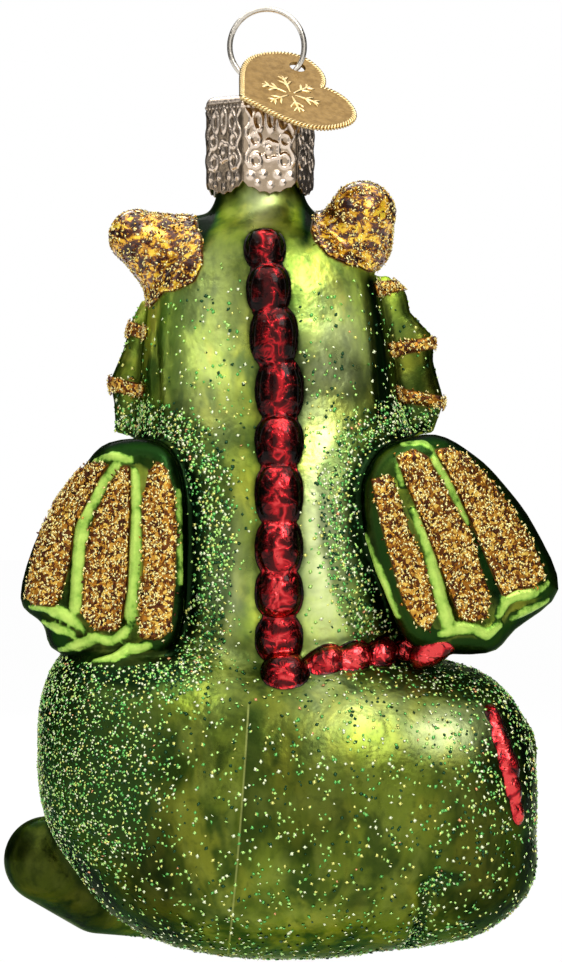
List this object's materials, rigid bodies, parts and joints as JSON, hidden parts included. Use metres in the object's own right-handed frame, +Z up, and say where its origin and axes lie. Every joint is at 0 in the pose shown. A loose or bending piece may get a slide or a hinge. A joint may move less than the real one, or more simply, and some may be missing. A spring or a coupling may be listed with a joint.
{
  "type": "dragon christmas ornament",
  "caption": "Sitting winged dragon of blown silvered glass that hangs from a wire ring through a sprung clip in a metal neck cap, with a heart tag on the ring.",
  "frame": {"origin": "inner top of the hanging ring, where a hook bears", "axes": "+Z up, +Y the way the dragon faces, +X to the right for a viewer behind the dragon"},
  "size_m": [0.0643, 0.046, 0.1107],
  "materials": {
    "ring_wire": "bright drawn wire",
    "tag_brass": "satin stamped sheet with a beaded rim",
    "clip_wire": "spring wire",
    "cap_metal": "bright embossed sheet with a pale champagne tone",
    "lacquered_glass": "silvered inside, metallic green and red lacquer outside, sprinkled with fine glitter",
    "gold_glitter": "coarse gold glitter set in glue"
  },
  "bodies": {
    "ring": {"hanging_ring": "ring_wire"},
    "tag": {"heart_tag": "tag_brass"},
    "cap": {"neck_cap": "cap_metal", "spring_clip": "clip_wire"},
    "glass": {"glass_body": "lacquered_glass", "left_horn_gold": "gold_glitter", "right_horn_gold": "gold_glitter", "left_wing_outer_gold": "gold_glitter", "left_wing_middle_gold": "gold_glitter", "left_wing_inner_gold": "gold_glitter", "right_wing_inner_gold": "gold_glitter", "right_wing_middle_gold": "gold_glitter", "right_wing_outer_gold": "gold_glitter", "left_frill_upper_rib": "gold_glitter", "left_frill_lower_rib": "gold_glitter", "right_frill_upper_rib": "gold_glitter", "right_frill_middle_rib": "gold_glitter", "right_frill_lower_rib": "gold_glitter"}
  },
  "joints": [
    {"name": "ornament_swing", "type": "hinge", "parent": "ring", "child": "cap", "pos_m": [0, 0, -0.00829], "axis": [1, 0, 0], "range_deg": [0, 60]},
    {"name": "tag_round_ring", "type": "hinge", "parent": "ring", "child": "tag", "pos_m": [0, 0, -0.00398], "axis": [0, -1, 0], "range_deg": [0, 90]},
    {"name": "cap_pull", "type": "slide", "parent": "cap", "child": "glass", "axis": [0, 0, -1], "range_m": [0, 0.015]}
  ]
}
